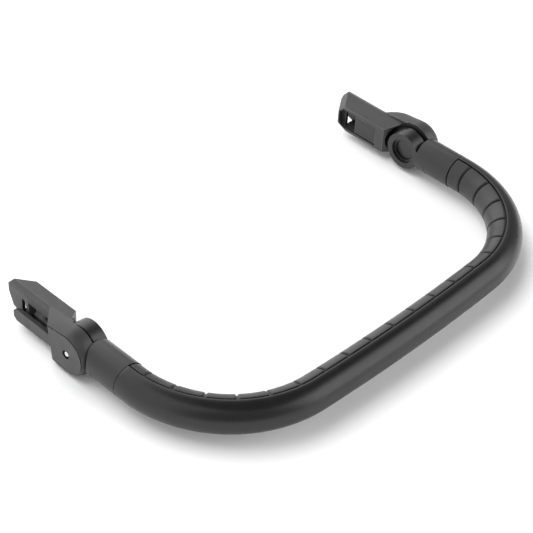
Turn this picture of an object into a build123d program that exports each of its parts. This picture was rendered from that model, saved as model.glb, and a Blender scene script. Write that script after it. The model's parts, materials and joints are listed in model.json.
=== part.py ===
"""Bumper bar for a pushchair seat: a padded U-shaped bar with a hinged plug-in adapter on each arm.

Millimetres.  X runs across the seat, Y from the child's front (-) to the seat frame (+), Z is up.
The origin is on the middle plane, under the middle of the bar, at the level of the hinge ears' lowest
point.  Everything on the arms is drawn for the right-hand side (+X) and mirrored for the left.
"""
from build123d import *
from math import acos, asin, atan2, cos, degrees, hypot, radians, sin
import os

# ---- bar -------------------------------------------------------------------------------------------
BAR_R = 15.0            # outside radius of the padded bar and of the end sleeves
ARM_X = 191.5           # arm centreline from the middle plane
CORNER_R = 97.0         # corner radius on the centreline
BOW_R = 2000.0          # the crossbar is bowed very slightly outwards
TUBE_R = 9.5            # steel tube inside the bar
TUBE_WALL = 1.5
PAD_BASE_R = 13.2       # floor of the grooves between the pads
PAD_R = 14.6            # pad surface, a little below the outer cover
PAD_PITCH = 25.0        # along the centreline
PAD_COUNT = 19
GROOVE_W = 1.3          # at the groove floor
GROOVE_MOUTH = 3.4      # across the bevels
PAD_EDGE_GAP = 1.2      # slit between the pads and the outer cover

# ---- hinge -----------------------------------------------------------------------------------------
PIVOT_DEPTH = 157.5     # crossbar centreline to hinge axis
EAR_R = 20.8            # outer half of the hinge, on the adapter
EAR_IN_X = 194.2
EAR_OUT_X = 208.0
EAR_ROOT_BACK = 36.5    # the ear's top slopes down to the adapter's ridge here
SHOULDER = ((0.0, 198.0), (0.4, 201.5), (1.3, 204.5), (2.6, 207.2))  # inset, x
FACE_INSET = 3.5        # raised flat face on the ear
KNUCKLE_R = 18.0        # inner half of the hinge, on the end sleeve
KNUCKLE_FACE_R = 16.9
KNUCKLE_IN_X = 179.0
KNUCKLE_OUT_X = 193.3
SPIGOT_R = 15.6         # the knuckle steps down here, which leaves a dark groove beside the ear
SPIGOT_IN_X = 191.2
HINGE_GAP = 0.6         # sleeve and block clear the turning halves by this
PIN_R = 2.5

# ---- end sleeve ------------------------------------------------------------------------------------
SLEEVE_DEPTH = 105.5    # crossbar centreline to the seam between pads and sleeve
SLEEVE_END_DEPTH = 142.0
KEEPER_END_DEPTH = 131.0
TUBE_END_DEPTH = 129.0
KEEPER_IN_R = 10.4
CAP_R = 9.3

# ---- adapter, measured from the hinge axis: back (towards the seat frame) and up ---------------------
TIP_REACH = 85.0
BLOCK_IN_X = 178.0      # inner face
BLOCK_OUT_X = 192.3     # ridge of the top face, and joint with the outer housing
BLOCK_FRONT = 22.5
BLOCK_BOTTOM = -12.6
TOP_IN_Z = 11.5         # the top face rises from the inner face to the ridge
TOP_OUT_Z = 16.8
WALL_OUT_X = 195.4
LIP_OUT_X = 196.3       # lip along the top of the side wall
POCKET = (31.0, 74.8, -10.4, 8.6)     # back from, back to, bottom, top
POCKET_FLOOR_X = 187.5
POCKET_STEP_X = 183.0                 # behind the deep part the pocket is only this deep
POCKET_DEEP_BACK = 70.6
SLOT_IN_X = 186.0
SLOT_FRONT = 38.0
WINDOW = (34.5, 66.6, 5.7)            # back from, back to, top edge
RAIL_IN_X = 198.4
RAIL_OUT_X = 202.0
BUTTON = (31.5, 56.3, -10.0, 8.1)
BUTTON_FACE_X = 178.8                 # it is pushed outwards by 3 mm and takes the latch along
BUTTON_BACK_X = 181.8
STEM = (38.6, 44.0, -9.6, 7.2)
LATCH_IN_X = 184.3
LATCH_OUT_X = 191.6
RIB_IN_X = 188.4
RIB_OUT_X = 194.6
RIB_FOOT = (58.3, 60.0)
RIB_HEAD = (60.4, 64.9, 5.2)
LATCH_ARM_TOP = -6.6
SPRING_BACK = 34.8
SPRING_R = 2.4
SPRING_WIRE_R = 0.25

# ---- derived places --------------------------------------------------------------------------------
DEPTH = BAR_R + PIVOT_DEPTH + TIP_REACH
CROSSBAR_Y = BAR_R - DEPTH / 2
BAR_Z = EAR_R
PIVOT_Y = CROSSBAR_Y + PIVOT_DEPTH
BOW_ANGLE = degrees(asin((ARM_X - CORNER_R) / (BOW_R - CORNER_R)))
CORNER_X = ARM_X - CORNER_R
CORNER_Y = CROSSBAR_Y + BOW_R - (BOW_R - CORNER_R) * cos(radians(BOW_ANGLE))
BOW_LENGTH = BOW_R * radians(BOW_ANGLE)
BOW_AXIS = Axis((0, CROSSBAR_Y + BOW_R, 0), (0, 0, 1))
CORNER_AXIS = Axis((CORNER_X, CORNER_Y, 0), (0, 0, -1))
CROSSBAR_PLANE = Plane((0, CROSSBAR_Y, BAR_Z), x_dir=(0, -1, 0), z_dir=(-1, 0, 0))


def arm_plane(depth):
    """Across the right arm: local x is outwards, local y is up, and the normal points forwards."""
    return Plane((ARM_X, CROSSBAR_Y + depth, BAR_Z), x_dir=(1, 0, 0), z_dir=(0, -1, 0))


def side_plane(x):
    """Side view of the adapter: local x is back from the hinge axis, local y is up."""
    return Plane((x, PIVOT_Y, BAR_Z), x_dir=(0, 1, 0), z_dir=(1, 0, 0))


def cross_plane(back):
    """Across the adapter: local x is the distance from the middle plane, local y is up."""
    return Plane((0, PIVOT_Y + back, BAR_Z), x_dir=(1, 0, 0), z_dir=(0, -1, 0))


def adapter_point(x, back, up):
    return Vector(x, PIVOT_Y + back, BAR_Z + up)


def plane_through(a, b, c):
    return Plane(a, x_dir=b - a, z_dir=(b - a).cross(c - a))


# ---- sections of the bar -----------------------------------------------------------------------------
def ring_section(outer, inner):
    Circle(outer)
    Circle(inner, mode=Mode.SUBTRACT)


def half_ring_section(outer, inner, outside, gap=0.0):
    """Half of a ring, on the outside or the inside of the U, held back from the middle by a gap."""
    ring_section(outer, inner)
    shift = -1 if outside else 1
    with Locations((shift * (outer - gap), 0)):
        Rectangle(2 * outer, 3 * outer, mode=Mode.SUBTRACT)


def carry_along_bar(draw_section, *sizes, end_depth):
    """Carry a section round the bowed crossbar, both corners and both arms, as one solid."""
    with BuildSketch(CROSSBAR_PLANE) as bow:
        draw_section(*sizes)
    revolve(bow.sketch, axis=BOW_AXIS, revolution_arc=BOW_ANGLE)
    corner_depth = CORNER_Y - CROSSBAR_Y
    with BuildSketch(arm_plane(corner_depth)) as arm:
        draw_section(*sizes)
    revolve(arm.sketch, axis=CORNER_AXIS, revolution_arc=90 - BOW_ANGLE)
    extrude(arm.sketch, amount=corner_depth - end_depth)
    mirror(about=Plane.YZ)


def bar_plane(length):
    """Plane on the centreline at a length from the middle: x outwards, y along the bar, z up."""
    if abs(length) < BOW_LENGTH:
        turn = length / BOW_R
        point = (BOW_R * sin(turn), CROSSBAR_Y + BOW_R * (1 - cos(turn)), BAR_Z)
    else:
        turn = radians(BOW_ANGLE) + (abs(length) - BOW_LENGTH) / CORNER_R
        x = CORNER_X + CORNER_R * sin(turn)
        turn, x = (turn, x) if length > 0 else (-turn, -x)
        point = (x, CORNER_Y - CORNER_R * cos(turn), BAR_Z)
    return Plane(point, x_dir=(sin(turn), -cos(turn), 0), z_dir=(0, 0, 1))


# ---- bar pieces --------------------------------------------------------------------------------------
def bar_tube():
    with BuildLine(Plane.XY.offset(BAR_Z)) as route:
        Line((ARM_X, CROSSBAR_Y + TUBE_END_DEPTH), (ARM_X, CORNER_Y))
        CenterArc((CORNER_X, CORNER_Y), CORNER_R, 0, BOW_ANGLE - 90)
        CenterArc((0, CROSSBAR_Y + BOW_R), BOW_R, BOW_ANGLE - 90, -2 * BOW_ANGLE)
        CenterArc((-CORNER_X, CORNER_Y), CORNER_R, -90 - BOW_ANGLE, BOW_ANGLE - 90)
        Line((-ARM_X, CORNER_Y), (-ARM_X, CROSSBAR_Y + TUBE_END_DEPTH))
    with BuildPart() as tube:
        with BuildSketch(arm_plane(TUBE_END_DEPTH)):
            ring_section(TUBE_R, TUBE_R - TUBE_WALL)
        sweep(path=route.wire())
    return tube


def outer_cover():
    with BuildPart() as cover:
        carry_along_bar(half_ring_section, BAR_R, TUBE_R, True, end_depth=SLEEVE_DEPTH)
    return cover


def grip_strip():
    """Inner half of the bar: a base with a raised layer that bevelled grooves cut into pads."""
    with BuildPart() as strip:
        carry_along_bar(half_ring_section, PAD_R, PAD_BASE_R - 0.1, False, PAD_EDGE_GAP,
                        end_depth=SLEEVE_DEPTH)
        for index in range(PAD_COUNT + 1):
            plane = bar_plane((index - PAD_COUNT / 2) * PAD_PITCH)
            with BuildSketch(plane):
                with BuildLine():
                    Polyline((PAD_BASE_R, -GROOVE_W / 2), (PAD_BASE_R + 0.5, -GROOVE_W / 2),
                             (PAD_R + 0.2, -GROOVE_MOUTH / 2), (PAD_R + 0.2, GROOVE_MOUTH / 2),
                             (PAD_BASE_R + 0.5, GROOVE_W / 2), (PAD_BASE_R, GROOVE_W / 2), close=True)
                make_face()
            revolve(axis=Axis(plane.origin, plane.y_dir), mode=Mode.SUBTRACT)
        carry_along_bar(half_ring_section, PAD_BASE_R, TUBE_R, False, end_depth=SLEEVE_DEPTH)
    return strip


# ---- end sleeve ----------------------------------------------------------------------------------------
def end_sleeve():
    """Hard sleeve on the tube's end, with the inner half of the hinge and a recess for its cap."""
    with BuildPart() as sleeve:
        with BuildSketch(arm_plane(SLEEVE_DEPTH)):
            Circle(BAR_R)
        extrude(amount=SLEEVE_DEPTH - SLEEVE_END_DEPTH)
        with BuildSketch(side_plane(EAR_IN_X - HINGE_GAP)):
            Circle(EAR_R + HINGE_GAP)
        extrude(amount=2 * BAR_R, mode=Mode.SUBTRACT)
        with BuildSketch(side_plane(KNUCKLE_OUT_X)):
            Circle(KNUCKLE_R)
        with BuildSketch(side_plane(KNUCKLE_IN_X)):
            Circle(KNUCKLE_FACE_R)
        loft()
        face_edge = sleeve.edges().filter_by(GeomType.CIRCLE).sort_by(Axis.X)[0]
        fillet(face_edge, 1.6)
        with BuildSketch(side_plane(KNUCKLE_IN_X)):
            Circle(11.6)
        extrude(amount=2.4, mode=Mode.SUBTRACT)
        with BuildSketch(side_plane(KNUCKLE_IN_X)):
            Circle(CAP_R + 0.1)
        extrude(amount=8.5, mode=Mode.SUBTRACT)
        with BuildSketch(side_plane(KNUCKLE_IN_X)):
            Circle(PIN_R + 0.05)
        extrude(amount=2 * BAR_R, mode=Mode.SUBTRACT)
        with BuildSketch(side_plane(SPIGOT_IN_X)):
            ring_section(KNUCKLE_R + 1, SPIGOT_R)
        extrude(amount=KNUCKLE_OUT_X - SPIGOT_IN_X, mode=Mode.SUBTRACT)
        with BuildSketch(side_plane(KNUCKLE_OUT_X)):
            Circle(8.4)
        extrude(amount=-1.0, mode=Mode.SUBTRACT)
        with BuildSketch(arm_plane(SLEEVE_DEPTH)):
            Circle(TUBE_R)
        extrude(amount=SLEEVE_DEPTH - TUBE_END_DEPTH, mode=Mode.SUBTRACT)
        with BuildSketch(arm_plane(SLEEVE_DEPTH)):
            ring_section(BAR_R + 1, KEEPER_IN_R)
            with Locations((0, BAR_R + 1)):
                Rectangle(3 * BAR_R, 2 * BAR_R + 2, mode=Mode.SUBTRACT)
        extrude(amount=SLEEVE_DEPTH - KEEPER_END_DEPTH, mode=Mode.SUBTRACT)
    return sleeve


def sleeve_keeper():
    """Lower half-shell that is screwed up against the tube and closes the sleeve."""
    with BuildPart() as keeper:
        with BuildSketch(arm_plane(SLEEVE_DEPTH)):
            ring_section(BAR_R - 0.15, KEEPER_IN_R)
            with Locations((0, BAR_R + 1)):
                Rectangle(3 * BAR_R, 2 * BAR_R + 2.3, mode=Mode.SUBTRACT)
        extrude(amount=SLEEVE_DEPTH - KEEPER_END_DEPTH + 0.2)
        with BuildSketch(keeper_screw_plane()):
            Circle(1.75)
        extrude(amount=BAR_R, mode=Mode.SUBTRACT)
        with BuildSketch(keeper_screw_plane()):
            Circle(3.2)
        extrude(amount=3.6, mode=Mode.SUBTRACT)
    return keeper


def keeper_screw_plane():
    """Seen from below, at the foot of the keeper's screw."""
    middle = CROSSBAR_Y + (SLEEVE_DEPTH + KEEPER_END_DEPTH) / 2
    return Plane((ARM_X, middle, BAR_Z - BAR_R - 0.5), x_dir=(1, 0, 0), z_dir=(0, 0, 1))


def keeper_screw():
    with BuildPart() as screw:
        with BuildSketch(keeper_screw_plane().offset(1.5)):
            Circle(3.0)
            RegularPolygon(1.5, 6, mode=Mode.SUBTRACT)
        extrude(amount=1.2)
        with BuildSketch(keeper_screw_plane().offset(2.7)):
            Circle(3.0)
        extrude(amount=0.9)
        with BuildSketch(keeper_screw_plane().offset(3.6)):
            Circle(1.75)
        extrude(amount=1.4)
    return screw


# ---- hinge hardware ------------------------------------------------------------------------------------
def pivot_pin():
    """Steel pin through ear and knuckle, flanged inside the knuckle, with a domed polished end."""
    with BuildPart() as pin:
        with BuildSketch(side_plane(184.6)):
            Circle(5.0)
        extrude(amount=1.8)
        with BuildSketch(side_plane(186.4)):
            Circle(PIN_R)
        extrude(amount=EAR_OUT_X - 0.7 - 186.4)
        end = pin.edges().filter_by(GeomType.CIRCLE).sort_by(Axis.X)[-1]
        fillet(end, 0.8)
    return pin


def friction_washer():
    with BuildPart() as washer:
        with BuildSketch(side_plane(KNUCKLE_OUT_X - 0.9)):
            ring_section(8.0, PIN_R + 0.05)
        extrude(amount=EAR_IN_X - KNUCKLE_OUT_X + 0.8)
    return washer


def pivot_cap():
    """Round cap that closes the recess in the knuckle."""
    with BuildPart() as cap:
        with BuildSketch(side_plane(KNUCKLE_IN_X + 3.9)):
            Circle(CAP_R)
        extrude(amount=1.6)
        rim = cap.edges().filter_by(GeomType.CIRCLE).sort_by(Axis.X)[0]
        fillet(rim, 0.7)
    return cap


# ---- adapter -------------------------------------------------------------------------------------------
def box_between(x_from, x_to, back_from, back_to, bottom, top, mode=Mode.ADD):
    """A box given by its limits: across, back from the hinge axis, and up from it."""
    with BuildSketch(side_plane(x_from)) as side:
        with Locations(((back_from + back_to) / 2, (bottom + top) / 2)):
            Rectangle(back_to - back_from, top - bottom)
    extrude(side.sketch, amount=x_to - x_from, mode=mode)


def clear_knuckle():
    """Room for the knuckle to turn."""
    with BuildSketch(side_plane(BLOCK_IN_X - 1)) as sweep_circle:
        Circle(EAR_R + HINGE_GAP)
    extrude(sweep_circle.sketch, amount=EAR_IN_X - BLOCK_IN_X + 1, mode=Mode.SUBTRACT)


def trim_tip():
    """Cut the end of the adapter to the blunt arrow it shows from the side."""
    with BuildSketch(side_plane(BLOCK_IN_X - 1)) as beyond:
        with BuildLine():
            Polyline((78.7, TOP_OUT_Z + 1), (78.7, TOP_OUT_Z), (82.8, 12.0), (82.6, 4.4),
                     (77.5, -7.6), (67.0, -12.0), (67.0, -16.0), (100.0, -16.0),
                     (100.0, TOP_OUT_Z + 1), close=True)
        make_face()
    extrude(beyond.sketch, amount=WALL_OUT_X - BLOCK_IN_X + 2, mode=Mode.SUBTRACT)


def adapter_block():
    """Inner half of the adapter: sloping top, bevelled tip, button pocket and the tongue's slot."""
    with BuildPart() as block:
        with BuildSketch(cross_plane(0)):
            with BuildLine():
                Polyline((BLOCK_IN_X, BLOCK_BOTTOM), (BLOCK_OUT_X, BLOCK_BOTTOM),
                         (BLOCK_OUT_X, TOP_OUT_Z), (BLOCK_IN_X, TOP_IN_Z), close=True)
            make_face()
        extrude(amount=-TIP_REACH)
        front = plane_through(adapter_point(BLOCK_IN_X, BLOCK_FRONT, 0),
                              adapter_point(BLOCK_OUT_X, 12.0, 0),
                              adapter_point(BLOCK_OUT_X, 12.0, 9))
        split(bisect_by=front, keep=Keep.BOTTOM)
        back = plane_through(adapter_point(BLOCK_IN_X, 76.0, 0),
                             adapter_point(BLOCK_OUT_X, TIP_REACH, 0),
                             adapter_point(BLOCK_OUT_X, TIP_REACH, 9))
        split(bisect_by=back, keep=Keep.TOP)
        trim_tip()
        bevel = plane_through(adapter_point(BLOCK_IN_X, 69.3, TOP_IN_Z),
                              adapter_point(BLOCK_OUT_X, 79.0, TOP_OUT_Z),
                              adapter_point(BLOCK_IN_X, 76.2, 4.6))
        split(bisect_by=bevel, keep=Keep.BOTTOM)
        clear_knuckle()
        with BuildSketch(side_plane(BLOCK_IN_X - 1)):
            with BuildLine():
                Polyline((POCKET[0], POCKET[2]), (70.6, POCKET[2]), (73.6, -8.4), (POCKET[1], -4.6),
                         (POCKET[1], 4.0), (70.6, POCKET[3]), (POCKET[0], POCKET[3]), close=True)
            make_face()
        extrude(amount=POCKET_STEP_X - BLOCK_IN_X + 1, mode=Mode.SUBTRACT)
        box_between(BLOCK_IN_X - 1, POCKET_FLOOR_X, POCKET[0], POCKET_DEEP_BACK, POCKET[2], POCKET[3],
                    mode=Mode.SUBTRACT)
        box_between(SLOT_IN_X, BLOCK_OUT_X + 1, SLOT_FRONT, 2 * TIP_REACH, POCKET[2], POCKET[3],
                    mode=Mode.SUBTRACT)
        dowel_hole()
    return block


def dowel_hole():
    with BuildSketch(side_plane(187.0)) as hole:
        with Locations((27.5, 0)):
            Circle(1.5)
    extrude(hole.sketch, amount=9.0, mode=Mode.SUBTRACT)


def housing_dowel():
    with BuildPart() as dowel:
        with BuildSketch(side_plane(187.3)):
            with Locations((27.5, 0)):
                Circle(1.5)
        extrude(amount=8.4)
        chamfer(dowel.edges().filter_by(GeomType.CIRCLE), 0.3)
    return dowel


def on_circle(radius, angle):
    return (radius * cos(radians(angle)), radius * sin(radians(angle)))


def ear_outline(inset):
    """Side view of the ear: a disc whose top slopes down to the ridge."""
    slope = atan2(EAR_ROOT_BACK, TOP_OUT_Z) - acos(EAR_R / hypot(EAR_ROOT_BACK, TOP_OUT_Z))
    radius = EAR_R - inset
    start = on_circle(radius, 90 - degrees(slope))
    bottom = (0, -radius)
    with BuildLine() as outline:
        ThreePointArc(start, on_circle(radius, 178), bottom)
        Polyline(bottom, (10.6, -18.1 + 0.35 * inset), (14.3, -15.9),
                 (EAR_ROOT_BACK, BLOCK_BOTTOM), (EAR_ROOT_BACK, TOP_OUT_Z - inset / cos(slope)), start)
    make_face(outline.edges())


def ear():
    """Outer half of the hinge, rounded towards its flat outer face."""
    with BuildSketch(side_plane(BLOCK_OUT_X)) as outline:
        ear_outline(0)
    extrude(outline.sketch, amount=SHOULDER[0][1] - BLOCK_OUT_X)
    sections = []
    for inset, x in SHOULDER:
        with BuildSketch(side_plane(x)) as section:
            ear_outline(inset)
        sections.append(section.sketch)
    loft(sections, ruled=True)
    with BuildSketch(side_plane(SHOULDER[-1][1] - 0.5)) as face:
        ear_outline(FACE_INSET)
    extrude(face.sketch, amount=EAR_OUT_X - SHOULDER[-1][1] + 0.5)


def adapter_housing():
    """Outer half of the adapter: hinge ear, side wall with its window, floor and the lower rail."""
    with BuildPart() as housing:
        ear()
        back_cut = plane_through(adapter_point(EAR_OUT_X, 18.2, -1.3),
                                 adapter_point(EAR_OUT_X, 20.6, 15.8),
                                 adapter_point(WALL_OUT_X, 31.5, 8.0))
        split(bisect_by=back_cut, keep=Keep.TOP)
        # side wall with its sloping shoulder
        with BuildSketch(cross_plane(12.0)):
            with BuildLine():
                Polyline((BLOCK_OUT_X, BLOCK_BOTTOM), (BLOCK_OUT_X, TOP_OUT_Z),
                         (LIP_OUT_X, TOP_OUT_Z - 1.9), (LIP_OUT_X, TOP_OUT_Z - 2.9),
                         (WALL_OUT_X - 0.9, TOP_OUT_Z - 3.2), (WALL_OUT_X - 0.9, TOP_OUT_Z - 4.4),
                         (WALL_OUT_X, TOP_OUT_Z - 4.7), (WALL_OUT_X, BLOCK_BOTTOM), close=True)
            make_face()
        extrude(amount=12.0 - TIP_REACH)
        trim_tip()
        box_between(BLOCK_OUT_X - 1, WALL_OUT_X + 1, WINDOW[0], WINDOW[1], POCKET[2], WINDOW[2],
                    mode=Mode.SUBTRACT)
        # floor and rail
        box_between(BLOCK_OUT_X, RAIL_OUT_X, 21.5, 66.0, BLOCK_BOTTOM, POCKET[2])
        with BuildSketch(side_plane(RAIL_IN_X)):
            with BuildLine():
                Polyline((18.0, -11.2), (18.0, -1.8), (64.6, -1.0), (69.4, -3.6), (69.4, -9.4),
                         (66.2, -12.4), close=True)
            make_face()
            fillet(vertices().group_by(Axis.X)[-1], 1.2)
        extrude(amount=RAIL_OUT_X - RAIL_IN_X)
        clear_knuckle()
        # pin bore and its counterbore in the ear
        with BuildSketch(side_plane(EAR_IN_X - 1)):
            Circle(PIN_R)
        extrude(amount=2 * BAR_R, mode=Mode.SUBTRACT)
        with BuildSketch(side_plane(EAR_OUT_X)):
            Circle(3.8)
        extrude(amount=-1.6, mode=Mode.SUBTRACT)
        dowel_hole()
    return housing


def release_button():
    """Push button that fills the front of the pocket, with a stem that pushes the latch."""
    with BuildPart() as button:
        box_between(BUTTON_FACE_X, BUTTON_BACK_X, *BUTTON)
        chamfer(button.faces().sort_by(Axis.X)[0].edges(), 0.5)
        box_between(BUTTON_BACK_X, LATCH_IN_X - 0.1, STEM[0], STEM[1], -6.0, 4.6)
    return button


def latch():
    """Plate behind the button, with a low arm that reaches back to the upright locking rib."""
    with BuildPart() as pawl:
        box_between(LATCH_IN_X, LATCH_IN_X + 2.3, *STEM)
        box_between(LATCH_IN_X, LATCH_OUT_X, STEM[0], 42.0, STEM[2], LATCH_ARM_TOP)
        box_between(LATCH_OUT_X - 2.2, LATCH_OUT_X, STEM[0], RIB_FOOT[1], STEM[2], LATCH_ARM_TOP)
        with BuildSketch(side_plane(RIB_IN_X)):
            with BuildLine():
                Polyline((RIB_FOOT[0], STEM[2]), (RIB_HEAD[0], RIB_HEAD[2]), (RIB_HEAD[1], RIB_HEAD[2]),
                         (RIB_FOOT[1], STEM[2]), close=True)
            make_face()
        extrude(amount=RIB_OUT_X - RIB_IN_X)
        ramp_middle = adapter_point(RIB_IN_X, (RIB_FOOT[1] + RIB_HEAD[1]) / 2,
                                    (STEM[2] + RIB_HEAD[2]) / 2)
        chamfer(pawl.edges().sort_by_distance(ramp_middle)[0], 1.4)
    return pawl


def button_spring():
    """Coil spring that presses the button back from the pocket's floor."""
    start_x = BUTTON_BACK_X + SPRING_WIRE_R + 0.1
    end_x = POCKET_FLOOR_X - SPRING_WIRE_R - 0.1
    with BuildPart() as spring:
        with BuildLine() as coil:
            Helix(pitch=1.0, height=end_x - start_x, radius=SPRING_R,
                  center=adapter_point(start_x, SPRING_BACK, -1.0), direction=(1, 0, 0))
        with BuildSketch(Plane(coil.line @ 0, z_dir=coil.line % 0)):
            Circle(SPRING_WIRE_R)
        sweep(is_frenet=True)
    return spring


# ---- build and write -------------------------------------------------------------------------------------
SINGLE_PIECES = {
    "bar_tube": bar_tube,
    "outer_cover": outer_cover,
    "grip_strip": grip_strip,
}
PAIRED_PIECES = {
    "end_sleeve": end_sleeve,
    "sleeve_keeper": sleeve_keeper,
    "keeper_screw": keeper_screw,
    "pivot_cap": pivot_cap,
    "pivot_pin": pivot_pin,
    "friction_washer": friction_washer,
    "adapter_block": adapter_block,
    "adapter_housing": adapter_housing,
    "housing_dowel": housing_dowel,
    "release_button": release_button,
    "latch": latch,
    "button_spring": button_spring,
}


def write(piece, name):
    piece.part.label = name
    export_step(piece.part, f"parts/{name}.step")


os.makedirs("parts", exist_ok=True)
for name, build in SINGLE_PIECES.items():
    write(build(), name)
for name, build in PAIRED_PIECES.items():
    right = build()
    write(right, f"right_{name}")
    with BuildPart() as left:
        mirror(right.part, about=Plane.YZ)
    write(left, f"left_{name}")
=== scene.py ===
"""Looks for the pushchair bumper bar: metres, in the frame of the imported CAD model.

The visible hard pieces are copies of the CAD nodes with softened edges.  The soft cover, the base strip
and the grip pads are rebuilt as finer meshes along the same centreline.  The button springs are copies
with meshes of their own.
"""

import json
from math import asin, cos, pi, radians, sin

import bmesh
import bpy
from mathutils import Matrix, Vector

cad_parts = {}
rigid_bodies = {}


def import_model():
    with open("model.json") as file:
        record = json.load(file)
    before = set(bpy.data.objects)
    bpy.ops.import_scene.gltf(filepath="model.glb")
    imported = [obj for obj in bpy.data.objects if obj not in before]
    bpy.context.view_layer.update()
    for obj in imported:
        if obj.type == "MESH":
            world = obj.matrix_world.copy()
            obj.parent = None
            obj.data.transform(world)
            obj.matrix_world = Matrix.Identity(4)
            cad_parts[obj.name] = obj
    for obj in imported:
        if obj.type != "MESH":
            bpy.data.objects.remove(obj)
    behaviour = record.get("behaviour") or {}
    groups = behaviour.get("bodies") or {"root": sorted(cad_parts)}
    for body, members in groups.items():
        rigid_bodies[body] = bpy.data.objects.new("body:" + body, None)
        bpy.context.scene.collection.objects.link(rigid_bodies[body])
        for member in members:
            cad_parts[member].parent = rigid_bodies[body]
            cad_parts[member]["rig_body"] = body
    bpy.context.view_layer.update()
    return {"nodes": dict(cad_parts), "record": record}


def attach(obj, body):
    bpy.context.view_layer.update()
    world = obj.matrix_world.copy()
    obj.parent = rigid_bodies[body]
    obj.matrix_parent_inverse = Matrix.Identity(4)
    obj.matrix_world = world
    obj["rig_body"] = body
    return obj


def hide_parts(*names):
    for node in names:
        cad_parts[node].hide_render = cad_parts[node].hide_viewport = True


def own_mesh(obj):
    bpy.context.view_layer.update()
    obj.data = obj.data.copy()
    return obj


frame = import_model()

# ---- sizes of the bar, in metres, as in the CAD -----------------------------------------------------
BAR_R = 0.015
TUBE_R = 0.0095
ARM_X = 0.1915
CORNER_R = 0.097
BOW_R = 2.0
DEPTH = 0.2575
CROSSBAR_Y = BAR_R - DEPTH / 2
BAR_Z = 0.0208
SLEEVE_DEPTH = 0.1055
PAD_R = 0.0146
PAD_BASE_R = 0.0132
PAD_PITCH = 0.025
PAD_COUNT = 19
GROOVE_W = 0.0013
GROOVE_MOUTH = 0.0034
EDGE_GAP = 0.0012

# ---- how the meshes are built -----------------------------------------------------------------------
STATIONS = 361          # rings along the bar
OUTER_POINTS = 44       # points on a ring's outer arc
INNER_POINTS = 14
ROUND_R = 0.0004        # rounded corners of a ring
ROUND_MID = 0.3         # share of the round at its middle point
PAD_ROUND_R = 0.0005
PAD_SINK = 0.0001       # the pads' roots lie this far inside the base strip
END_STEP = 0.00035      # the cover narrows this much at its two ends
RING_SHARP = 38         # degrees: a wider edge stays sharp
CAD_SHARP = 30
CAD_MERGE = 1e-6
CAD_FLAT = 0.4          # degrees: faces closer than this are joined
BEVEL_SEGMENTS = 3

BOW_ANGLE = asin((ARM_X - CORNER_R) / (BOW_R - CORNER_R))
CORNER_X = ARM_X - CORNER_R
CORNER_Y = CROSSBAR_Y + BOW_R - (BOW_R - CORNER_R) * cos(BOW_ANGLE)
BOW_LENGTH = BOW_R * BOW_ANGLE
CORNER_LENGTH = CORNER_R * (pi / 2 - BOW_ANGLE)
HALF_LENGTH = BOW_LENGTH + CORNER_LENGTH + CROSSBAR_Y + SLEEVE_DEPTH - CORNER_Y


def bar_frame(length):
    """Point on the centreline at a length from the middle, and the direction out of the U there."""
    side = 1 if length >= 0 else -1
    along = abs(length)
    if along < BOW_LENGTH:
        turn = along / BOW_R
        point = (BOW_R * sin(turn), CROSSBAR_Y + BOW_R * (1 - cos(turn)))
    elif along < BOW_LENGTH + CORNER_LENGTH:
        turn = BOW_ANGLE + (along - BOW_LENGTH) / CORNER_R
        point = (CORNER_X + CORNER_R * sin(turn), CORNER_Y - CORNER_R * cos(turn))
    else:
        turn = pi / 2
        point = (ARM_X, CORNER_Y + along - BOW_LENGTH - CORNER_LENGTH)
    return Vector((side * point[0], point[1], BAR_Z)), Vector((side * sin(turn), -cos(turn), 0))


def bar_point(length, angle, radius):
    """Point on the bar: angle 0 faces out of the U, 90 degrees is the top, 180 faces into the U."""
    centre, out = bar_frame(length)
    return centre + radius * (cos(angle) * out + sin(angle) * Vector((0, 0, 1)))


def spread(first, last, count):
    return [first + (last - first) * i / (count - 1) for i in range(count)]


# ---- meshes ----------------------------------------------------------------------------------------
def add_object(name, mesh):
    obj = bpy.data.objects.new(name, mesh)
    bpy.context.scene.collection.objects.link(obj)
    return obj


def smooth_by_angle(mesh, degrees):
    work = bmesh.new()
    work.from_mesh(mesh)
    for face in work.faces:
        face.smooth = True
    for edge in work.edges:
        edge.smooth = len(edge.link_faces) == 2 and edge.calc_face_angle(0) < radians(degrees)
    work.to_mesh(mesh)
    work.free()


def closed_sweep(work, rings):
    """Skin closed rings of points into a solid with flat ends."""
    rows = [[work.verts.new(p) for p in ring] for ring in rings]
    count = len(rows[0])
    for a, b in zip(rows, rows[1:]):
        for i in range(count):
            j = (i + 1) % count
            work.faces.new((a[i], a[j], b[j], b[i]))
    work.faces.new(rows[0])
    work.faces.new(list(reversed(rows[-1])))


def mesh_from_rings(name, groups):
    work = bmesh.new()
    for rings in groups:
        closed_sweep(work, rings)
    bmesh.ops.recalc_face_normals(work, faces=work.faces)
    mesh = bpy.data.meshes.new(name)
    work.to_mesh(mesh)
    work.free()
    smooth_by_angle(mesh, RING_SHARP)
    return add_object(name, mesh)


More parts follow.
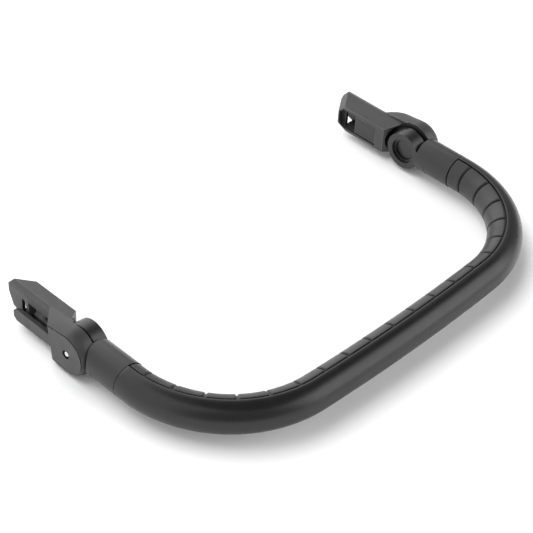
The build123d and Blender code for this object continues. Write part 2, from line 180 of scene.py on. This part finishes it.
def softened(node, width):
    """Copy of a CAD node with its sharp edges rounded; it stands for the node."""
    source = frame["nodes"][node]
    mesh = source.data.copy()
    mesh.materials.clear()
    for name in [a.name for a in mesh.attributes if a.name in ("custom_normal", "sharp_face")]:
        mesh.attributes.remove(mesh.attributes[name])
    work = bmesh.new()
    work.from_mesh(mesh)
    bmesh.ops.remove_doubles(work, verts=work.verts, dist=CAD_MERGE)
    bmesh.ops.dissolve_limit(work, angle_limit=radians(CAD_FLAT), verts=work.verts, edges=work.edges)
    work.to_mesh(mesh)
    work.free()
    smooth_by_angle(mesh, CAD_SHARP)
    obj = add_object("soft_edged_" + node, mesh)
    bevel = obj.modifiers.new("edges", "BEVEL")
    bevel.width = width
    bevel.segments = BEVEL_SEGMENTS
    bevel.limit_method = "ANGLE"
    bevel.angle_limit = radians(CAD_SHARP)
    bevel.harden_normals = True
    bevel.use_clamp_overlap = True
    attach(obj, source["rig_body"])
    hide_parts(node)
    return obj


# ---- materials ---------------------------------------------------------------------------------------
BLOTCH_SIZE = 0.03
SCUFF_SIZE = 0.004
POLISH_SIZE = 0.012
WAVE_SIZE = 0.005
WAVE_DEPTH = 0.00006
WAVE_STRENGTH = 0.2
PIT_DEPTH = 0.12        # share of the grain's size
WEAR_AND_HIGHLIGHT_GAIN = 2.5         # edge colour, partly wear and partly a painted highlight: gain times the colour plus the lift
WEAR_AND_HIGHLIGHT_LIFT = 0.012
CAVITY_SHADE_TONE = 0.15      # share of the colour left under the painted shade deep in a cavity
CAVITY_SHADE_SAMPLES = 8


def moulded(name, tone, rough, grain=0.00035, bump=0.25, mottle=0.12, wear_and_highlight=0.0, rough_spread=0.06,
            metallic=0.0, cavity_shade_reach=0.0):
    """Moulded surface: fine grain, uneven colour and polish; the wear amount pales its edges, partly as
    wear and partly as a painted highlight, and the cavity distance, in metres, paints shade onto what lies
    deep."""
    material = bpy.data.materials.new(name)
    material.use_nodes = True
    tree = material.node_tree
    nodes, link = tree.nodes, tree.links.new
    shader = nodes["Principled BSDF"]
    shader.inputs["Metallic"].default_value = metallic
    place = nodes.new("ShaderNodeTexCoord")

    def noise(size, detail, roughness=0.55):
        node = nodes.new("ShaderNodeTexNoise")
        node.inputs["Scale"].default_value = 1 / size
        node.inputs["Detail"].default_value = detail
        node.inputs["Roughness"].default_value = roughness
        link(place.outputs["Object"], node.inputs["Vector"])
        return node

    def ramp(source, low, high, dark, pale):
        node = nodes.new("ShaderNodeMapRange")
        node.inputs["From Min"].default_value = low
        node.inputs["From Max"].default_value = high
        node.inputs["To Min"].default_value = dark
        node.inputs["To Max"].default_value = pale
        link(source, node.inputs["Value"])
        return node.outputs["Result"]

    def mixed(a, b, factor):
        """Mix of two colours; a colour is a tone or another node's output."""
        node = nodes.new("ShaderNodeMix")
        node.data_type = "RGBA"
        for key, colour in (("A", a), ("B", b)):
            if isinstance(colour, bpy.types.NodeSocket):
                link(colour, node.inputs[key])
            else:
                node.inputs[key].default_value = [min(1, c) for c in colour] + [1]
        link(factor, node.inputs["Factor"])
        return node.outputs["Result"]

    blotches = ramp(noise(BLOTCH_SIZE, 4).outputs["Fac"], 0.35, 0.65, 0, 1)
    colour = mixed([t * (1 - mottle) for t in tone], [t * (1 + mottle) for t in tone], blotches)
    # worn edges, partly real wear and partly a painted highlight: paler colour at sharp edges, broken up
    # by scuff noise
    if wear_and_highlight:
        edges = nodes.new("ShaderNodeNewGeometry").outputs["Pointiness"]
        amount = nodes.new("ShaderNodeMath")
        amount.operation = "MULTIPLY"
        link(ramp(edges, 0.56, 0.70, 0, wear_and_highlight), amount.inputs[0])
        link(ramp(noise(SCUFF_SIZE, 5, 0.7).outputs["Fac"], 0.4, 0.6, 0.3, 1), amount.inputs[1])
        colour = mixed(colour, [t * WEAR_AND_HIGHLIGHT_GAIN + WEAR_AND_HIGHLIGHT_LIFT for t in tone], amount.outputs[0])
    # painted shade: the colour darkens deep in hollows, recesses and gaps between parts, where ambient
    # occlusion finds nearby surfaces
    if cavity_shade_reach:
        shade_occlusion = nodes.new("ShaderNodeAmbientOcclusion")
        shade_occlusion.samples = CAVITY_SHADE_SAMPLES
        shade_occlusion.inputs["Distance"].default_value = cavity_shade_reach
        unshaded_share = ramp(shade_occlusion.outputs["AO"], 0.25, 0.8, 0, 1)
        colour = mixed([t * CAVITY_SHADE_TONE for t in tone], colour, unshaded_share)
    link(colour, shader.inputs["Base Color"])

    polish = noise(POLISH_SIZE, 4).outputs["Fac"]
    link(ramp(polish, 0.3, 0.7, rough - rough_spread, rough + rough_spread), shader.inputs["Roughness"])

    cells = nodes.new("ShaderNodeTexVoronoi")
    cells.inputs["Scale"].default_value = 1 / grain
    link(place.outputs["Object"], cells.inputs["Vector"])
    pits = nodes.new("ShaderNodeBump")
    pits.inputs["Strength"].default_value = bump
    pits.inputs["Distance"].default_value = grain * PIT_DEPTH
    link(cells.outputs["Distance"], pits.inputs["Height"])
    waves = nodes.new("ShaderNodeBump")
    waves.inputs["Strength"].default_value = WAVE_STRENGTH
    waves.inputs["Distance"].default_value = WAVE_DEPTH
    link(noise(WAVE_SIZE, 2).outputs["Fac"], waves.inputs["Height"])
    link(pits.outputs["Normal"], waves.inputs["Normal"])
    link(waves.outputs["Normal"], shader.inputs["Normal"])
    return material


def grey(value):
    """Grey with a trace of blue."""
    return (value, value, value * 1.02)


MATERIALS = {
    "soft_cover": moulded("soft_touch_cover", grey(0.008), 0.29, grain=0.0004, mottle=0.08, wear_and_highlight=0.35,
                          rough_spread=0.03),
    "grip_pads": moulded("soft_touch_pads", grey(0.016), 0.40, grain=0.0005, bump=0.35, mottle=0.08,
                         wear_and_highlight=0.5),
    "black_plastic": moulded("grained_black_plastic", grey(0.037), 0.42, grain=0.0004, bump=0.4,
                             mottle=0.06, cavity_shade_reach=0.014),
    "latch_plastic": moulded("grey_acetal", grey(0.13), 0.45, bump=0.2, mottle=0.05, cavity_shade_reach=0.006),
    "sleeve_plastic": moulded("satin_black_plastic", grey(0.014), 0.33, grain=0.0004, mottle=0.06,
                              rough_spread=0.02),
    "button_plastic": moulded("button_plastic", grey(0.022), 0.45, grain=0.0005, bump=0.4, mottle=0.05,
                              cavity_shade_reach=0.006),
    "washer_plastic": moulded("nylon", (0.55, 0.54, 0.50), 0.5, bump=0.1, mottle=0.05, wear_and_highlight=0.35),
    "tube_steel": moulded("galvanised_steel", (0.42, 0.43, 0.44), 0.38, metallic=1.0, bump=0.1, wear_and_highlight=0.35),
    "pin_steel": moulded("turned_steel", (0.78, 0.78, 0.80), 0.22, metallic=1.0, bump=0.08,
                         rough_spread=0.04),
    "spring_steel": moulded("spring_wire", (0.55, 0.55, 0.57), 0.3, metallic=1.0, bump=0.05, wear_and_highlight=0.35),
    "screw_steel": moulded("blackened_steel", grey(0.03), 0.4, metallic=1.0, bump=0.1, wear_and_highlight=0.35),
}

# painted highlights on the bevels of the hard pieces: paler and smoother than the faces
EDGE_HIGHLIGHTS = {slot: moulded(name, grey(value), rough, bump=0.15, mottle=0.3) for slot, name, value, rough in (
    ("black_plastic", "edge_highlight_black_plastic", 0.24, 0.34),
    ("sleeve_plastic", "edge_highlight_satin_plastic", 0.05, 0.28),
    ("button_plastic", "edge_highlight_button_plastic", 0.09, 0.36),
    ("latch_plastic", "edge_highlight_acetal", 0.22, 0.36),
)}


def finish_with(obj, slot):
    """The slot's material, and on a softened piece the one with a painted edge highlight for its bevels.
    """
    obj.data.materials.clear()
    obj.data.materials.append(MATERIALS[slot])
    if "edges" in obj.modifiers:
        obj.data.materials.append(EDGE_HIGHLIGHTS[slot])
        obj.modifiers["edges"].material = 1


# ---- soft pieces of the bar --------------------------------------------------------------------------
def half_shell(length, start, stop, outer, inner, round_r=ROUND_R):
    """Closed ring of points: an outer and an inner arc, with small rounds at the outer corners."""
    turn = round_r / outer
    low, middle = outer - round_r, outer - ROUND_MID * round_r
    places = [(start, inner), (start, low), (start + ROUND_MID * turn, middle)]
    places += [(a, outer) for a in spread(start + turn, stop - turn, OUTER_POINTS)]
    places += [(stop - ROUND_MID * turn, middle), (stop, low)]
    places += [(a, inner) for a in spread(stop, start, INNER_POINTS)]
    return [bar_point(length, angle, radius) for angle, radius in places]


def cover():
    """Outside half of the bar, a little narrower at the very ends, towards the sleeves."""
    lengths = spread(-HALF_LENGTH, HALF_LENGTH, STATIONS)
    rings = [half_shell(l, -pi / 2, pi / 2, BAR_R, TUBE_R) for l in lengths]
    for i in (0, -1):
        rings[i] = half_shell(lengths[i], -pi / 2, pi / 2, BAR_R - END_STEP, TUBE_R)
    return mesh_from_rings("outer_cover_soft", [rings])


def base_strip():
    """Strip under the pads, seen in the grooves between them."""
    lengths = spread(-HALF_LENGTH, HALF_LENGTH, STATIONS)
    rings = [half_shell(l, pi / 2, 1.5 * pi, PAD_BASE_R, TUBE_R) for l in lengths]
    return mesh_from_rings("pad_base_strip", [rings])


def pad(first, last):
    """One grip pad: bevelled towards its neighbours, with rounded long edges and a soft crown."""
    gap = EDGE_GAP / PAD_R
    start, stop = pi / 2 + gap, 1.5 * pi - gap
    root = PAD_BASE_R - PAD_SINK
    bevel = (GROOVE_MOUTH - GROOVE_W) / 2
    # the pad's end: place as a share of the bevel, and the surface's radius there
    profile = [(0.0, root), (0.0, PAD_BASE_R + 0.0004), (0.15, PAD_BASE_R + 0.0007),
               (0.8, PAD_R - 0.0002), (1.0, PAD_R - 0.00005), (1.4, PAD_R)]
    stations = [(first + t * bevel, r) for t, r in profile]
    stations += [(l, PAD_R) for l in spread(first + 2 * bevel, last - 2 * bevel, 10)]
    stations += [(last - t * bevel, r) for t, r in reversed(profile)]
    return [half_shell(length, start, stop, top, root - PAD_SINK,
                       min(PAD_ROUND_R, top - root + PAD_SINK / 2)) for length, top in stations]


def grip_pads():
    edges = [(i - PAD_COUNT / 2) * PAD_PITCH for i in range(PAD_COUNT + 1)]
    half = GROOVE_W / 2
    groups = [pad(a + half, b - half) for a, b in zip(edges, edges[1:])]
    return mesh_from_rings("grip_pads_soft", groups)


def end_pads():
    """Plain stretches between the outermost grooves and the end sleeves."""
    groove = PAD_COUNT / 2 * PAD_PITCH + GROOVE_W / 2
    groups = [pad(groove, HALF_LENGTH), pad(-HALF_LENGTH, -groove)]
    return mesh_from_rings("end_pads_soft", groups)


for piece, slot in ((cover(), "soft_cover"), (base_strip(), "grip_pads"), (grip_pads(), "grip_pads"),
                    (end_pads(), "grip_pads")):
    finish_with(piece, slot)
    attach(piece, "bar")
    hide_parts("outer_cover" if slot == "soft_cover" else "grip_strip")

# ---- hard pieces ------------------------------------------------------------------------------------
SLOT_OF = {p["node"]: p["material_slot"] for p in frame["record"]["subparts"]}
EDGE_WIDTH = {"end_sleeve": 0.0003, "sleeve_keeper": 0.0003, "adapter_block": 0.0004,
              "adapter_housing": 0.0004, "release_button": 0.0003, "latch": 0.0002, "pivot_cap": 0.0002}


def compressing(node):
    """Copy of a button spring, with a mesh of its own, riding on the spring's body."""
    source = frame["nodes"][node]
    spring = add_object("coil_" + node, source.data.copy())
    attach(spring, source["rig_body"])
    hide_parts(node)
    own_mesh(spring)
    return spring


for node, obj in list(frame["nodes"].items()):
    kind = node.split("_", 1)[1]
    if kind in EDGE_WIDTH:
        finish_with(softened(node, EDGE_WIDTH[kind]), SLOT_OF[node])
    elif kind == "button_spring":
        finish_with(compressing(node), SLOT_OF[node])
    elif node not in ("outer_cover", "grip_strip"):
        obj.data.materials.clear()
        obj.data.materials.append(MATERIALS[SLOT_OF[node]])

# ---- studio -----------------------------------------------------------------------------------------
FLOOR_HALF = 6
FLOOR_GAP = 0.0002      # below the object, so that the two do not flicker
FLOOR_TONE = 0.93
FLOOR_ROUGH = 0.9
FLOOR_SPECULAR = 0.2

floor_mesh = bpy.data.meshes.new("floor")
floor_corners = [(x * FLOOR_HALF, y * FLOOR_HALF, 0) for x, y in ((-1, -1), (1, -1), (1, 1), (-1, 1))]
floor_mesh.from_pydata(floor_corners, [], [(0, 1, 2, 3)])
floor = add_object("floor", floor_mesh)
floor.location.z = -FLOOR_GAP
floor_material = bpy.data.materials.new("pale_floor")
floor_material.use_nodes = True
floor_shader = floor_material.node_tree.nodes["Principled BSDF"]
floor_shader.inputs["Base Color"].default_value = (FLOOR_TONE, FLOOR_TONE, FLOOR_TONE, 1)
floor_shader.inputs["Roughness"].default_value = FLOOR_ROUGH
floor_shader.inputs["Specular IOR Level"].default_value = FLOOR_SPECULAR
floor_mesh.materials.append(floor_material)

world = bpy.data.worlds.new("studio")
bpy.context.scene.world = world
world.use_nodes = True
sky = world.node_tree.nodes
sky_link = world.node_tree.links.new
sky["Background"].inputs["Color"].default_value = (1, 1, 1, 1)
sky_direction = sky.new("ShaderNodeTexCoord").outputs["Generated"]


def sky_patch(direction, full, none):
    """1 within an angle of a direction of the room, falling to 0 at a wider angle."""
    dot = sky.new("ShaderNodeVectorMath")
    dot.operation = "DOT_PRODUCT"
    sky_link(sky_direction, dot.inputs[0])
    dot.inputs[1].default_value = Vector(direction).normalized()
    fall = sky.new("ShaderNodeMapRange")
    fall.interpolation_type = "SMOOTHSTEP"
    fall.inputs["From Min"].default_value = cos(radians(none))
    fall.inputs["From Max"].default_value = cos(radians(full))
    sky_link(dot.outputs["Value"], fall.inputs["Value"])
    return fall.outputs["Result"]


ROOM_BRIGHTNESS = 1.25
# direction, degrees from it of full and of no effect, brightness added there
ROOM_PATCHES = (
    ((0.60, -0.68, 0.42), 18, 36, 1.2),      # softbox
    ((0.15, 0.87, 0.47), 20, 40, 0.85),      # bright wall
    ((0.22, -0.10, 0.97), 29, 38, -1.15),    # dark ceiling
    ((0.96, 0.08, 0.25), 20, 38, -0.9),      # dim right-hand side
    ((-0.50, -0.80, 0.30), 25, 55, -0.85),   # dim side of the viewer
)
brightness = None
for direction, full, none, added in ROOM_PATCHES:
    term = sky.new("ShaderNodeMath")
    term.operation = "MULTIPLY_ADD"
    sky_link(sky_patch(direction, full, none), term.inputs[0])
    term.inputs[1].default_value = added
    if brightness is None:
        term.inputs[2].default_value = ROOM_BRIGHTNESS
    else:
        sky_link(brightness, term.inputs[2])
    brightness = term.outputs["Value"]
sky_link(brightness, sky["Background"].inputs["Strength"])
bpy.context.scene.view_settings.view_transform = "Standard"


LIGHT_PLACE = Vector((-0.3, 0.9, 2.0))
LIGHT_SIZE = (2.2, 1.6)
LIGHT_POWER = 34
light_data = bpy.data.lights.new("top", "AREA")
light_data.shape = "RECTANGLE"
light_data.size, light_data.size_y = LIGHT_SIZE
light_data.energy = LIGHT_POWER
light = bpy.data.objects.new("top", light_data)
light.location = LIGHT_PLACE
light.visible_glossy = False
light.rotation_euler = (-LIGHT_PLACE).to_track_quat("-Z", "Y").to_euler()
bpy.context.scene.collection.objects.link(light)

# ---- camera -----------------------------------------------------------------------------------------
AZIMUTH, ELEVATION, ROLL = radians(-47.7709), radians(40.1004), radians(3.5229)
TARGET = Vector((-0.0222336, 0.0139809, BAR_Z))
DISTANCE = 1.3622
LENS, SENSOR_WIDTH, CLIP_START = 114.14, 36.0, 0.05
back = Vector((sin(AZIMUTH) * cos(ELEVATION), -cos(AZIMUTH) * cos(ELEVATION), sin(ELEVATION)))
level = Vector((cos(AZIMUTH), sin(AZIMUTH), 0))
upright = back.cross(level)
right = cos(ROLL) * level + sin(ROLL) * upright
up = cos(ROLL) * upright - sin(ROLL) * level
camera_data = bpy.data.cameras.new("camera")
camera_data.lens = LENS
camera_data.sensor_width = SENSOR_WIDTH
camera_data.clip_start = CLIP_START
camera = bpy.data.objects.new("camera", camera_data)
turned = Matrix((right, up, back)).transposed().to_4x4()
camera.matrix_world = Matrix.Translation(TARGET + DISTANCE * back) @ turned
bpy.context.scene.collection.objects.link(camera)
bpy.context.scene.camera = camera
